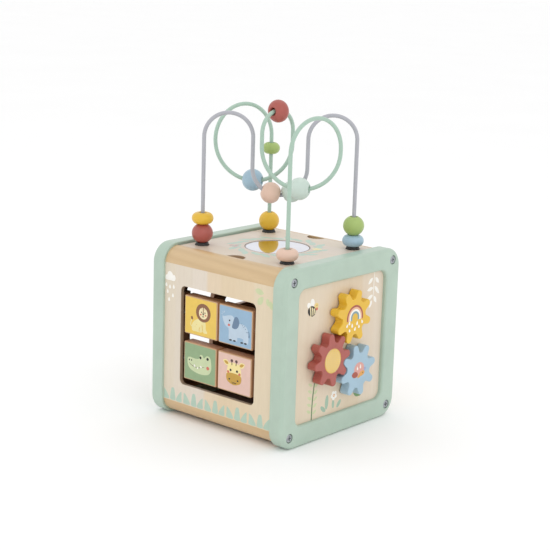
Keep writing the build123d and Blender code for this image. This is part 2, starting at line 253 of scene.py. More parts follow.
def paint(name, colour, gloss=0.42, coat=0.25, along=None, speckle=0.04):
    """Sprayed satin paint on wood: faint mottling, orange peel, and a paler rub along the edges."""
    s = Shader(name)
    mottle = s.noise(45.0, detail=4.0, roughness=0.55)
    peel = s.noise(900.0, detail=2.0)
    body = s.mix(s.between(mottle, 0.0, 1.0), shade(colour, 1 - speckle), shade(colour, 1 + speckle))
    worn = s.math("MULTIPLY", s.edges(), s.between(mottle, 0.15, 0.5))
    s.colour(s.mix(worn, body, shade(colour, 1.18)))
    s.roughness(s.between(mottle, gloss - 0.05, gloss + 0.06))
    s.set(Coat_Weight=coat, Coat_Roughness=0.22)
    under = s.bump(grain_height(s, along), 0.00004, 0.5) if along else None
    s.normal(s.bump(peel, 0.000025, 0.5, under))
    return s.material


def ink(name, colour, along, fade=0.06):
    """Printing ink soaked into lacquered wood, so the fibres below show through a little."""
    s = Shader(name)
    fibres = grain_height(s, along)
    blotch = s.noise(160.0, detail=3.0)
    dry = s.mix(s.between(fibres, 0.0, 1.0), shade(colour, 1 - fade), colour)
    s.colour(s.mix(s.between(blotch, 0.0, 0.6), dry, shade(colour, 1 + fade)))
    s.roughness(s.between(fibres, 0.52, 0.44))
    s.set(Coat_Weight=0.12, Coat_Roughness=0.35)
    s.normal(s.bump(fibres, 0.00004, 0.5))
    return s.material


def coated_wire(name, colour):
    s = Shader(name)
    ripple = s.noise(260.0, detail=3.0)
    s.colour(s.mix(s.between(ripple, 0.0, 1.0), shade(colour, 0.96), shade(colour, 1.03)))
    s.roughness(s.between(ripple, 0.27, 0.36))
    s.set(Coat_Weight=0.4, Coat_Roughness=0.15, IOR=1.5)
    s.normal(s.bump(ripple, 0.00002, 0.4))
    return s.material


def plated_steel(name):
    s = Shader(name)
    turning = s.noise(1400.0, detail=3.0)
    cloud = s.noise(180.0, detail=3.0)
    s.colour(s.mix(s.between(cloud, 0.0, 1.0), srgb(150, 154, 160), srgb(190, 194, 198)))
    s.roughness(s.between(turning, 0.30, 0.42))
    s.set(Metallic=1.0)
    s.normal(s.bump(turning, 0.00002, 0.4))
    return s.material


def acrylic_mirror(name):
    s = Shader(name)
    waviness = s.noise(30.0, detail=1.0)
    haze = s.noise(70.0, detail=4.0)
    s.colour(s.mix(s.between(haze, 0.0, 1.0), srgb(212, 214, 226), srgb(220, 222, 234)))
    s.roughness(s.between(haze, 0.02, 0.05))
    s.set(Metallic=1.0, Coat_Weight=0.5, Coat_Roughness=0.03)
    s.normal(s.bump(waviness, 0.0001, 0.15))
    return s.material


def moulded_plastic(name, colour):
    s = Shader(name)
    grain = s.noise(1500.0, detail=2.0)
    flow = s.noise(90.0, detail=3.0)
    s.colour(s.mix(s.between(flow, 0.0, 1.0), shade(colour, 0.85), shade(colour, 1.25)))
    s.roughness(s.between(flow, 0.38, 0.5))
    s.normal(s.bump(grain, 0.00002, 0.5))
    return s.material


def planks(axis, start, end, tones):
    """Boards side by side along an axis: each tone is (share of the way where it starts, colour)."""
    def build(s):
        split = s.nodes.new("ShaderNodeSeparateXYZ")
        s.link(s.place, split.inputs[0])
        wander = s.noise(5.0, detail=1.0)
        place = s.math("ADD", split.outputs["XYZ".index(axis.upper())], s.between(wander, -0.0015, 0.0015))
        ramp = s.nodes.new("ShaderNodeValToRGB")
        s.link(s.between(place, 0.0, 1.0, start, end), ramp.inputs[0])
        stops = ramp.color_ramp.elements
        blend = 0.012
        first, rest = tones[0], tones[1:]
        stops[0].position = 0.0
        stops[0].color = first[1]
        stops[1].position = 1.0
        stops[1].color = tones[-1][1]
        before = first[1]
        for share, colour in rest:
            stops.new(share - blend).color = before
            stops.new(share + blend).color = colour
            before = colour
        return ramp.outputs[0]
    return build


# ---------------------------------------------------------------- palette
CREAM_BOARD = srgb(226, 211, 186)
RAW_BOARD = srgb(166, 121, 88)
WINDOW_EDGE = srgb(172, 152, 128)

front_tones = [(0.0, srgb(226, 215, 197)), (0.10, srgb(227, 217, 204)), (0.26, srgb(230, 220, 210)),
               (0.395, srgb(232, 210, 180)), (0.52, srgb(229, 206, 170)), (0.66, srgb(231, 209, 174)),
               (0.82, srgb(229, 212, 182))]
side_tones = [(0.0, srgb(229, 213, 190)), (0.22, srgb(231, 215, 193)), (0.40, srgb(230, 211, 186)),
              (0.58, srgb(228, 208, 181)), (0.74, srgb(229, 213, 194)), (0.88, srgb(230, 216, 200))]
lid_tones = [(0.0, srgb(214, 199, 184)), (0.2, srgb(221, 208, 199)), (0.45, srgb(217, 203, 192)),
             (0.62, srgb(223, 210, 202)), (0.8, srgb(220, 206, 192))]


def panel_planks(node, axis, tones):
    low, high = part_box(node)
    index = "xyz".index(axis)
    return planks(axis, low[index], high[index], tones)


INK = {
    "white": srgb(250, 247, 240), "cream": srgb(245, 230, 184), "pale_green": srgb(206, 214, 168),
    "mint": srgb(182, 206, 188), "mint_deep": srgb(164, 192, 170), "leaf": srgb(112, 150, 96),
    "stem": srgb(104, 132, 92), "black": srgb(26, 22, 22), "bee_yellow": srgb(240, 212, 140),
    "cheek": srgb(212, 110, 92), "brick": srgb(172, 84, 66), "peach": srgb(236, 186, 150),
    "blue_grey": srgb(128, 160, 170), "rose": srgb(222, 164, 154),
    "amber": srgb(226, 164, 84), "red_dark": srgb(150, 72, 64), "disc": srgb(226, 184, 78),
    "lemon": srgb(246, 230, 150), "seed": srgb(252, 243, 206), "scorch": srgb(96, 72, 58),
    "pale_mint": srgb(188, 211, 197),
    "grey_leaf": srgb(198, 208, 198), "rose_pale": srgb(212, 178, 176),
    "face_yellow": srgb(236, 199, 88), "face_blue": srgb(150, 182, 208), "face_green": srgb(146, 172, 130),
    "face_pink": srgb(230, 194, 180), "mane": srgb(138, 92, 62), "fur": srgb(240, 226, 160),
    "hide": srgb(190, 208, 224), "ear": srgb(104, 130, 158), "scale": srgb(204, 216, 172),
    "giraffe": srgb(246, 228, 160), "muzzle": srgb(200, 156, 58), "horn": srgb(86, 58, 58),
    "lilac": srgb(158, 164, 206),
}
inks = {name: ink("ink_" + name, colour, "z") for name, colour in INK.items()}


# ---------------------------------------------------------------- drawing on a face, in millimetres
class Face:
    """A flat face: its middle, its own right and up, and the way it looks."""

    def __init__(self, origin, right, up):
        self.origin = Vector(origin)
        self.right = Vector(right)
        self.up = Vector(up)
        self.out = self.right.cross(self.up)

    def at(self, u, v, lift):
        return self.origin + (self.right * u + self.up * v + self.out * lift) * MM


def ellipse(u, v, half_u, half_v, turn=0.0, points=36):
    c, s = cos(radians(turn)), sin(radians(turn))
    outline = []
    for k in range(points):
        a = 2 * pi * k / points
        x, y = half_u * cos(a), half_v * sin(a)
        outline.append((u + x * c - y * s, v + x * s + y * c))
    return outline


def leaf(u, v, long, wide, turn, points=12):
    """A leaf with a point at both ends; (u, v) is the end on its stem."""
    c, s = cos(radians(turn)), sin(radians(turn))
    side = []
    for k in range(points + 1):
        t = k / points
        side.append((long * t, wide / 2 * sin(pi * t ** 0.85) ** 0.8 if 0 < k < points else 0.0))
    both = side + [(x, -y) for x, y in reversed(side[1:-1])]
    return [(u + x * c - y * s, v + x * s + y * c) for x, y in both]


def drop(u, v, long, wide, turn=90.0):
    """A rain drop: round below, pointed above; (u, v) is its middle."""
    c, s = cos(radians(turn)), sin(radians(turn))
    outline = []
    for k in range(28):
        a = 2 * pi * k / 28
        x = -long / 2 * cos(a)
        y = wide / 2 * sin(a) * (0.5 - x / long) ** 0.6 * 1.25
        outline.append((u + x * c - y * s, v + x * s + y * c))
    return outline


def band(u, v, outer, inner, start, end, legs=0.0, points=28):
    """Part of a ring between two angles, with straight legs below it if it is an arch."""
    angles = [radians(start + (end - start) * k / points) for k in range(points + 1)]
    outside = [(u + outer * cos(a), v + outer * sin(a)) for a in angles]
    inside = [(u + inner * cos(a), v + inner * sin(a)) for a in reversed(angles)]
    if legs:
        outside, inside = ([(line[0][0], line[0][1] - legs)] + line + [(line[-1][0], line[-1][1] - legs)]
                           for line in (outside, inside))
    return outside + inside


def smooth(points, closed=True, steps=7):
    """A smooth line through given points."""
    count = len(points)
    out = []
    spans = count if closed else count - 1
    for i in range(spans):
        if closed:
            p0, p1, p2, p3 = (points[(i + k - 1) % count] for k in range(4))
        else:
            p1, p2 = points[i], points[i + 1]
            p0 = points[i - 1] if i else (2 * p1[0] - p2[0], 2 * p1[1] - p2[1])
            p3 = points[i + 2] if i + 2 < count else (2 * p2[0] - p1[0], 2 * p2[1] - p1[1])
        for k in range(steps):
            t = k / steps
            out.append(tuple(0.5 * (2 * b + (c - a) * t + (2 * a - 5 * b + 4 * c - d) * t ** 2
                                    + (3 * b - a - 3 * c + d) * t ** 3)
                             for a, b, c, d in zip(p0, p1, p2, p3)))
    if not closed:
        out.append(tuple(points[-1]))
    return out


def stroke(points, wide, taper=0.35):
    """A brush line along given points, thinner at its ends."""
    line = smooth(points, closed=False) if len(points) > 2 else [points[0], points[1]]
    left, right = [], []
    last = len(line) - 1
    for i, (x, y) in enumerate(line):
        before, after = line[max(i - 1, 0)], line[min(i + 1, last)]
        dx, dy = after[0] - before[0], after[1] - before[1]
        reach = hypot(dx, dy) or 1.0
        half = wide / 2 * (taper + (1 - taper) * min(1.0, 4 * min(i, last - i) / last))
        left.append((x - dy / reach * half, y + dx / reach * half))
        right.append((x + dy / reach * half, y - dx / reach * half))
    return left + right[::-1]


def petal_ring(u, v, apart, half_long, half_wide, first, step):
    """Petals round (u, v), one every step degrees from the first angle on."""
    petals = []
    for turn in range(first, first + 360, step):
        a = radians(turn)
        petals.append(ellipse(u + apart * cos(a), v + apart * sin(a), half_long, half_wide, turn))
    return petals


def rounded(u, v, wide, high, corner, points=6):
    outline = []
    for su, sv, start in ((1, 1, 0), (-1, 1, 90), (-1, -1, 180), (1, -1, 270)):
        for k in range(points + 1):
            a = radians(start + 90 * k / points)
            outline.append((u + su * (wide / 2 - corner) + corner * cos(a),
                            v + sv * (high / 2 - corner) + corner * sin(a)))
    return outline


def signed_area(outline):
    return sum(x0 * y1 - x1 * y0 for (x0, y0), (x1, y1) in zip(outline, outline[1:] + outline[:1])) / 2


INK_STEP = 0.03      # each layer of ink stands this much above the one below, in millimetres
INK_FOOT = 0.05      # and all reach this far into the wood
INK_SHARES = 8       # outlines of one layer share its step out, so that no two that cross are level


def print_piece(name, face, body, layers):
    """One printed picture: layers of (ink, outlines) from the lowest to the top one."""
    mesh = bpy.data.meshes.new(name)
    bm = bmesh.new()
    used = []
    for level, (colour, outlines) in enumerate(layers):
        if colour not in used:
            used.append(colour)
        for index, outline in enumerate(outlines):
            share = (index % INK_SHARES) / INK_SHARES
            top = INK_STEP * (level + 1 + share)
            foot = -INK_FOOT - INK_STEP * (level + share)
            if signed_area(outline) < 0:
                outline = outline[::-1]
            front = [bm.verts.new(face.at(u, v, top)) for u, v in outline]
            back = [bm.verts.new(face.at(u, v, foot)) for u, v in outline]
            made = [bm.faces.new(front), bm.faces.new(back[::-1])]
            for i in range(len(front)):
                j = (i + 1) % len(front)
                made.append(bm.faces.new((back[i], back[j], front[j], front[i])))
            for f in made:
                f.material_index = used.index(colour)
    bm.normal_update()      # the cut into triangles needs each face's normal
    bmesh.ops.triangulate(bm, faces=bm.faces[:])
    bm.to_mesh(mesh)
    bm.free()
    for colour in used:
        mesh.materials.append(inks[colour])
    piece = bpy.data.objects.new(name, mesh)
    bpy.context.scene.collection.objects.link(piece)
    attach(piece, body)
    return piece


# ---------------------------------------------------------------- turning tiles
def tile_face(node):
    at = middle(node)
    return Face((at.x, lowest(node).y, at.z), (1, 0, 0), (0, 0, 1))


def tile_ground(ink_name, node):
    low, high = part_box(node)
    margin = 1.3
    return (ink_name, [rounded(0, 0, (high.x - low.x) / MM - 2 * margin,
                               (high.z - low.z) / MM - 2 * margin, 1.4)])


def lion():
    body = smooth([(-4.5, -2.5), (3.5, -1.5), (7.5, -5.0), (8.2, -12.0), (10.6, -16.2), (5.4, -17.0),
                   (3.6, -15.6), (0.5, -17.0), (-7.0, -17.2), (-12.6, -16.6), (-13.4, -11.0), (-10.4, -6.0)])
    mane = ellipse(3.9, 5.9, 11.2, 10.5)
    face = ellipse(3.9, 5.4, 6.6, 6.6)
    return [
        ("fur", [body, stroke([(-12.0, -13.5), (-15.2, -10.5), (-14.6, -6.5), (-13.4, -4.0)], 1.3, 0.9)]),
        ("mane", [mane, ellipse(-13.3, -2.6, 1.5, 2.1, 20)]),
        ("cream", [face]),
        ("mane", [stroke([(3.9, 12.0), (3.9, 5.0)], 1.9, 0.6), stroke([(1.0, 11.4), (1.8, 9.4)], 0.9),
                  stroke([(6.8, 11.4), (6.0, 9.4)], 0.9)]),
        ("cheek", [ellipse(0.2, 3.6, 1.2, 1.0), ellipse(7.7, 3.6, 1.2, 1.0)]),
        ("black", [ellipse(1.2, 6.4, 0.65, 0.85), ellipse(6.6, 6.4, 0.65, 0.85),
                   smooth([(2.7, 5.3), (5.1, 5.3), (3.9, 3.3)]), stroke([(3.9, 3.6), (3.9, 2.2)], 0.45, 0.8),
                   stroke([(2.2, 2.0), (3.0, 1.4), (3.9, 2.2), (4.8, 1.4), (5.6, 2.0)], 0.45, 0.7)]),
        ("disc", [stroke([(-1.6, -16.6), (-1.9, -13.2), (-0.6, -11.0)], 0.5),
                  stroke([(3.2, -15.6), (3.0, -11.0), (2.2, -8.0)], 0.5),
                  ellipse(-6.0, -9.0, 0.35, 0.35), ellipse(-8.4, -11.4, 0.35, 0.35)]),
    ]


def elephant():
    body = smooth([(-9.6, 3.0), (-3.0, 5.0), (4.0, 4.4), (11.4, 4.6), (17.0, 1.6), (19.2, -5.0),
                   (19.0, -15.6), (12.4, -15.8), (11.6, -11.6), (3.6, -11.8), (2.8, -15.8), (-8.4, -15.8),
                   (-9.4, -8.0)])
    head = smooth([(-19.4, 8.8), (-16.6, 9.0), (-11.0, 10.8), (-5.0, 11.4), (-1.4, 8.0), (-2.2, 1.0),
                   (-8.4, -3.0), (-14.4, -1.2), (-17.8, 3.4)])
    toes = [ellipse(x, -16.0, 2.1, 0.9, 6) for x in (-6.6, -0.9, 10.0, 15.4)]
    spray = [drop(-18.8, 13.2, 2.3, 1.3, 120), drop(-16.6, 14.2, 2.5, 1.4, 90),
             drop(-20.0, 11.0, 2.0, 1.1, 150)]
    freckles = [ellipse(9.0 + 1.5 * k, 5.0 - 1.25 * (k % 3) - 0.22 * k * k, 0.6, 0.36, -35)
                for k in range(7)]
    return [
        ("hide", [body, head] + spray),
        ("ear", [smooth([(-0.9, 10.4), (3.2, 10.8), (5.6, 6.0), (4.4, 0.6), (0.4, -2.4), (-4.6, -1.6),
                         (-3.4, 4.4)])]),
        ("cheek", [ellipse(-9.4, 0.4, 1.7, 1.4)]),
        ("black", toes + [ellipse(-8.6, 5.6, 1.0, 0.95)]),
        ("ear", freckles + [stroke([(19.0, -1.4), (20.2, -3.4), (20.4, -6.4)], 0.8),
                            ellipse(20.4, -7.0, 0.8, 1.7)]),
    ]


def crocodile():
    head = smooth([(-18.9, 3.2), (-15.0, 5.0), (-8.0, 4.6), (-1.6, 5.6), (0.2, 10.2), (3.6, 10.6),
                   (6.2, 7.6), (8.8, 10.0), (12.4, 11.4), (16.0, 9.4), (17.6, 3.0), (17.4, -4.0),
                   (13.4, -9.8), (3.0, -12.0), (-8.0, -11.0), (-15.6, -8.0), (-18.9, -3.0)])
    jaw = [(-16.6, -1.8), (-12.0, -4.2), (-6.0, -5.2), (0.0, -4.6), (7.0, -2.6)]
    return [
        ("scale", [head]),
        ("cheek", [ellipse(12.4, -2.8, 2.2, 2.0)]),
        ("horn", [stroke(jaw, 0.55, 0.5)]),
        ("white", [smooth([(-9.4, -3.2), (-8.4, -5.0), (-6.8, -4.9), (-8.0, -2.2)], steps=3),
                   smooth([(-3.4, -6.8), (-4.6, -5.0), (-2.0, -4.9)], steps=3),
                   smooth([(1.4, -1.8), (0.8, -4.4), (3.4, -3.8)], steps=3)]),
        ("black", [ellipse(0.9, 7.2, 1.5, 1.6), ellipse(11.9, 7.8, 1.7, 1.7),
                   ellipse(-16.4, 1.6, 0.8, 0.9), ellipse(-12.8, 1.8, 0.8, 0.9)]),
    ]


def giraffe():
    head = smooth([(-8.6, 11.0), (0.0, 12.4), (7.4, 11.0), (9.6, 6.0), (10.6, -3.0), (8.0, -9.0),
                   (-0.5, -11.0), (-9.0, -9.0), (-11.4, -3.0), (-10.2, 6.0)])
    muzzle = smooth([(-11.8, -4.6), (-10.0, -0.6), (-0.6, 0.6), (8.8, -0.6), (10.8, -4.6), (8.6, -10.0),
                     (-0.5, -12.8), (-9.6, -10.0)])
    mouth = stroke([(-3.4, -9.6), (-1.6, -10.9), (0.0, -9.9), (1.6, -10.9), (3.2, -9.7)], 0.7, 0.7)
    return [
        ("giraffe", [head, leaf(-8.0, 9.4, 9.6, 6.2, 158), leaf(6.8, 9.8, 9.6, 6.2, 24)]),
        ("muzzle", [muzzle, leaf(-9.0, 9.8, 6.8, 3.4, 158), leaf(7.8, 10.3, 6.8, 3.4, 24)]),
        ("horn", [stroke([(-3.6, 9.4), (-3.8, 13.2)], 1.2, 0.9), stroke([(2.4, 9.6), (2.8, 13.4)], 1.2, 0.9),
                  ellipse(-3.9, 14.4, 1.9, 1.6), ellipse(2.9, 14.6, 1.9, 1.6)]),
        ("cheek", [ellipse(-9.0, 0.9, 1.7, 1.4), ellipse(7.9, 1.0, 1.7, 1.4)]),
        ("black", [ellipse(-5.4, 3.4, 1.4, 1.4), ellipse(4.2, 3.6, 1.4, 1.4),
                   ellipse(-7.0, -7.0, 1.2, 0.9, 20), ellipse(5.4, -7.0, 1.2, 0.9, -20), mouth]),
    ]


TILES = (("tile_upper_left", "face_yellow", lion), ("tile_upper_right", "face_blue", elephant),
         ("tile_lower_left", "face_green", crocodile), ("tile_lower_right", "face_pink", giraffe))


def print_tiles():
    for node, ground, picture in TILES:
        name = f"print_{picture.__name__}"
        print_piece(name, tile_face(node), node, [tile_ground(ground, node)] + picture())


# ---------------------------------------------------------------- prints on the front and back panels
def long_face(side):
    """The front (-1) or back (+1) panel's face; its middle is the middle of the cube."""
    node = "front_panel" if side < 0 else "back_panel"
    y = lowest(node).y if side < 0 else highest(node).y
    return Face((CUBE_X, y, CUBE_Z), (-side, 0, 0), (0, 0, 1))


def grass(half_width, foot):
    """Blunt blades along the bottom of a panel: a tall one, one that leans right, one that leans left."""
    upright = [(-3.8, 0.2), (-3.7, 6.0), (-2.7, 11.4), (-1.4, 14.2), (1.5, 14.3), (2.8, 11.0), (3.8, 5.6),
               (3.9, 0.2)]
    leaning = [(-4.5, 0.2), (-3.4, 4.4), (-0.4, 8.8), (2.8, 12.0), (3.9, 11.6), (3.9, 6.0), (3.8, 0.2)]
    pitch = 33.4
    blades = []
    for k in range(-3, 4):
        start = pitch * k - 0.4
        shapes = [[(start + x, foot + z) for x, z in upright],
                  [(start + 10.0 + x, foot + z) for x, z in leaning],
                  [(start + 22.0 - 1.15 * x, foot + z) for x, z in leaning]]
        for shape in shapes:
            blade = [(max(-half_width, min(half_width, x)), z) for x, z in smooth(shape, steps=5)]
            if max(x for x, _ in blade) - min(x for x, _ in blade) > 2.0:
                blades.append(blade)
    return blades


def cloud(u, v):
    shape = [(-8.0, -2.6), (-7.6, 1.2), (-5.2, 2.2), (-3.6, 5.4), (-0.4, 6.6), (2.6, 4.8), (4.0, 3.0),
             (6.6, 2.8), (8.0, -0.4), (6.4, -3.6), (0.0, -3.8), (-6.2, -3.8)]
    return smooth([(u + x, v + z) for x, z in shape])


def print_front():
    face = long_face(-1)
    half_width = (highest("front_panel").x - lowest("front_panel").x) / 2 / MM - 0.6
    foot = (lowest("front_panel").z - CUBE_Z) / MM + 1.0
    rain = [(-79.8, 54.6), (-74.0, 53.0), (-68.0, 53.8), (-77.6, 47.2), (-69.2, 43.6), (-75.2, 38.2)]
    print_piece("print_front_grass", face, "cube", [("mint", grass(half_width, foot))])
    print_piece("print_cloud", face, "cube",
                [("white", [cloud(-73.4, 64.0)] + [drop(u, v, 5.0, 3.4) for u, v in rain])])
    leaves = [leaf(54.8, 72.6, 12.6, 6.6, -10), leaf(59.0, 57.4, 11.8, 7.0, 52),
              leaf(72.0, 66.0, 8.6, 5.4, -75), leaf(79.6, 55.0, 9.6, 6.0, 110)]
    print_piece("print_front_leaves", face, "cube", [("pale_green", leaves)])


def print_back():
    face = long_face(1)
    half_width = (highest("back_panel").x - lowest("back_panel").x) / 2 / MM - 0.6
    foot = (lowest("back_panel").z - CUBE_Z) / MM + 1.0
    print_piece("print_back_grass", face, "cube", [("mint", grass(half_width, foot))])
    rain = [(-52, 44), (-44, 39), (-36, 43), (-48, 33), (-39, 30)]
    print_piece("print_back_cloud", face, "cube",
                [("white", [cloud(-44, 54), cloud(38, 60)] + [drop(u, v, 5.0, 3.4) for u, v in rain])])
    flowers = [(-20, 2), (8, 18), (34, -4)]
    stems = [stroke([(u - 1.5, foot), (u, (top + foot) / 2), (u, top)], 1.8) for u, top in flowers]
    petals = [petal for u, top in flowers for petal in petal_ring(u, top, 6.4, 4.2, 2.9, 0, 45)]
    print_piece("print_back_flowers", face, "cube",
                [("stem", stems + [leaf(u, top - 26, 13, 6, a) for u, top in flowers for a in (35, 145)]),
                 ("rose", petals), ("disc", [ellipse(u, top, 4.2, 4.2) for u, top in flowers])])


# ---------------------------------------------------------------- prints on the gear side
def side_face(side):
    """The outside of the gear panel (+1) or of the sorter panel (-1), about the cube's middle."""
    node = "gear_panel" if side > 0 else "sorter_panel"
    x = highest(node).x if side > 0 else lowest(node).x
    return Face((x, 0, CUBE_Z), (0, side, 0), (0, 0, 1))


def bee(u, v):
    body = ellipse(u, v, 6.9, 5.7, -24)
    stripes = []
    for x in (-1.9, 1.5, 4.7):
        line = [(u + x - 1.6, v + 5.0 - 0.5 * x), (u + x, v), (u + x + 0.4, v - 5.6 + 0.4 * x)]
        stripes.append(stroke(line, 1.7, 0.8))
    return [
        ("bee_yellow", [ellipse(u + 7.4, v + 4.6, 3.7, 3.6)]),
        ("white", [ellipse(u + 0.8, v + 9.4, 3.3, 4.6, 14), ellipse(u - 5.0, v + 7.2, 2.9, 3.5, 40)]),
        ("black", [body]),
        ("cream", stripes),
        ("cheek", [ellipse(u + 8.2, v + 1.3, 1.7, 1.6)]),
        ("black", [ellipse(u + 8.2, v + 5.4, 0.5, 0.55)]),
    ]


def leaf_between(base, tip, wide):
    """A leaf given by its two ends."""
    across, along = tip[0] - base[0], tip[1] - base[1]
    turn = degrees(atan2(along, across))
    return leaf(base[0], base[1], hypot(across, along), wide, turn)


def hanging_branch(u, v):
    """A pale branch that hangs from the window's edge, with leaves in pairs."""
    stem = stroke([(u + 1.0, v), (u + 0.4, v - 10), (u + 0.2, v - 20), (u + 1.0, v - 30)], 1.2)
    left = [((-2.0, -7.2), (-10.0, -13.6)), ((-0.8, -18.8), (-11.8, -20.8)), ((-0.8, -27.2), (-11.8, -31.8)),
            ((-2.4, -33.4), (-7.0, -41.6))]
    right = [((2.6, -7.4), (9.6, -14.6)), ((2.0, -17.4), (10.8, -27.4)), ((1.2, -28.8), (6.0, -37.2))]
    ends = [((u + a, v + b), (u + c, v + d)) for (a, b), (c, d) in left + right]
    return [("white", [stem] + [leaf_between(base, tip, 4.4) for base, tip in ends])]


def print_gear_side():
    face = side_face(1)
    window = (highest("frame_right").z - lowest("frame_right").z) / 2 / MM - FRAME_BAND
    print_piece("print_bee", face, "cube", bee(-50.0, 48.4))
    print_piece("print_branch", face, "cube", hanging_branch(58.3, window))
    fern = []
    for k in range(5):
        v = -37.0 - 7.6 * k
        at = -42.6 - 0.42 * k
        fern.append(leaf(at - 1.4, v, 8.4, 3.4, 152))
        fern.append(leaf(at + 1.6, v - 2.0, 7.4, 3.4, 28))
    flower_stem = stroke([(-40.6, -32.0), (-42.6, -46.0), (-43.8, -60.0), (-44.2, -window)], 1.9, 0.9)
    print_piece("print_fern", face, "cube", [("pale_green", fern), ("stem", [flower_stem])])
    shoots = [ellipse(-24.5, -68.0, 5.4, 2.4, -40), ellipse(-18.3, -61.4, 2.9, 8.3, -4),
              ellipse(-6.8, -66.0, 2.1, 4.8, 2), ellipse(3.2, -67.4, 5.2, 2.4, 50)]
    print_piece("print_shoots", face, "cube", [("mint_deep", shoots)])
    u, v = -5.8, -56.0
    print_piece("print_daisy", face, "cube",
                [("white", petal_ring(u, v, 3.0, 2.6, 2.3, 45, 72)), ("amber", [ellipse(u, v, 1.9, 1.7)]),
                 ("white", [ellipse(u, v, 0.9, 0.8)])])
    sprig = [leaf(38.4, -66.4, 11.4, 4.4, 146), leaf(38.0, -66.0, 8.4, 4.4, 24)]
    print_piece("print_sprig", face, "cube",
                [("pale_green", [stroke([(38.0, -69.6), (37.6, -61.0)], 1.5)]), ("leaf", sprig)])


def print_sorter_side():
    face = side_face(-1)
    daisies = [(-4.0, 4.0), (61.0, -52.0), (-62.0, 58.0)]
    petals = [petal for u, v in daisies for petal in petal_ring(u, v, 3.0, 2.7, 2.4, 45, 72)]
    print_piece("print_sorter_daisies", face, "cube",
                [("white", petals), ("amber", [ellipse(u, v, 1.8, 1.8) for u, v in daisies])])
    shoots = [ellipse(u, -64.0, 2.6, 6.6, turn) for u, turn in ((-66, 8), (-4, -6), (4, 10), (66, -8))]
    sprigs = [leaf(u, 62.0, 10.0, 4.2, turn) for u, turn in ((0, 30), (0, 150), (62, 60), (62, 140))]
    print_piece("print_sorter_leaves", face, "cube",
                [("mint_deep", shoots), ("pale_green", sprigs)])


# ---------------------------------------------------------------- prints on the gears
def gear_face(colour):
    at = middle("spindle_" + colour)
    return Face((highest("gear_" + colour).x, at.y, at.z), (0, 1, 0), (0, 0, 1))


def print_gears():
    seeds = []
    radius = 13.8
    disc_v = -0.4
    for row in range(-5, 6):
        v = row * 2.4
        reach = (radius ** 2 - v ** 2) ** 0.5 - 2.2
        count = max(1, int(2 * reach / 3.1))
        for k in range(count + 1):
            u = -reach + 2 * reach * k / count
            seeds.append(ellipse(u, disc_v + v - 0.12 * u, 0.9, 0.66, -8, points=12))
    ticks = []
    for k in range(16):
        turn = radians(360 * k / 16 + 8)
        start, end = (15.6, 18.2) if k % 2 else (15.2, 17.0)
        line = [(start * cos(turn), disc_v + start * sin(turn)), (end * cos(turn), disc_v + end * sin(turn))]
        ticks.append(stroke(line, 0.45, 0.6))
    print_piece("print_sunflower", gear_face("red"), "gear_red",
                [("disc", [ellipse(0, disc_v, radius, radius, points=64)]), ("seed", seeds),
                 ("red_dark", ticks)])

    rainbow = []
    outer = 14.4
    for colour, wide in (("brick", 2.3), ("peach", 2.3), ("white", 2.4), ("blue_grey", 2.4)):
        rainbow.append((colour, [band(0.8, -1.0, outer, outer - wide + 0.02, 0, 180, legs=2.8)]))
        outer -= wide
    rain = [(-12.7, -8.0), (-8.9, -5.5), (-3.9, -9.0), (-8.3, -14.0), (1.5, -13.6), (4.9, -7.5), (8.4, -11.9),
            (13.6, -7.1)]
    drops = [drop(u, v, 4.2 + 0.5 * (k % 3), 3.0, 90 + 14 * (k % 4 - 1.5))
             for k, (u, v) in enumerate(rain)]
    rainbow.append(("white", drops))
    print_piece("print_rainbow", gear_face("yellow"), "gear_yellow", rainbow)

    print_piece("print_bird", gear_face("blue"), "gear_blue", [
        ("lilac", [leaf(8.8, -1.0, 5.2, 3.8, 24)]),
        ("rose", [ellipse(0.6, 1.6, 9.0, 7.8, -6)]),
        ("brick", [ellipse(-6.7, -4.2, 5.3, 3.5, -8)]),
        ("amber", [ellipse(5.8, -4.4, 5.0, 2.8, 12), leaf(-2.4, -8.0, 7.0, 3.0, 16)]),
        ("white", [drop(-2.6, 2.8, 4.6, 2.5, 100), drop(2.8, 4.2, 5.2, 2.5, 90)]),
        ("black", [ellipse(7.0, -3.8, 0.6, 0.6)]),
    ])


# ---------------------------------------------------------------- prints on the lid
def print_lid():
    face = Face((CUBE_X, 0, highest("lid_panel").z), (1, 0, 0), (0, 1, 0))
    pocket = (highest("mirror").x - lowest("mirror").x) / 2 / MM + 0.4
    wreath = []
    for k in range(36):
        turn = 10 * k
        a = radians(turn)
        apart, long, lean = ((6.0, 15.0, 70), (13.0, 13.0, 112), (9.5, 17.0, 50))[k % 3]
        reach = pocket + apart
        wreath.append(leaf(reach * cos(a), reach * sin(a), long, 7.6, turn + lean))
    twigs = []
    for k in range(12):
        turn = 30 * k + 14
        a = radians(turn)
        reach = pocket + (7.0 if k % 2 else 11.0)
        twigs.append(leaf(reach * cos(a), reach * sin(a), 11.0, 3.6, turn + (100 if k % 2 else 64)))
    flowers = [(-36.0, -29.0), (-40.0, -33.5), (-33.0, -35.0)]
    petals = [petal for u, v in flowers for petal in petal_ring(u, v, 1.7, 1.5, 1.2, 0, 72)]
    u, v = 38.5, 24.0
    print_piece("print_wreath", face, "lid", [
        ("pale_mint", wreath),
        ("grey_leaf", twigs),
        ("rose_pale", petals),
        ("cream", petal_ring(u, v, 3.2, 2.8, 2.0, 20, 60)),
        ("lemon", [ellipse(u, v, 1.8, 1.8)]),
    ])
    ring = [band(0, 0, pocket + 0.9, pocket, start, start + 180, points=48) for start in (0, 180)]
    print_piece("print_mirror_rim", face, "lid", [("scorch", ring)])


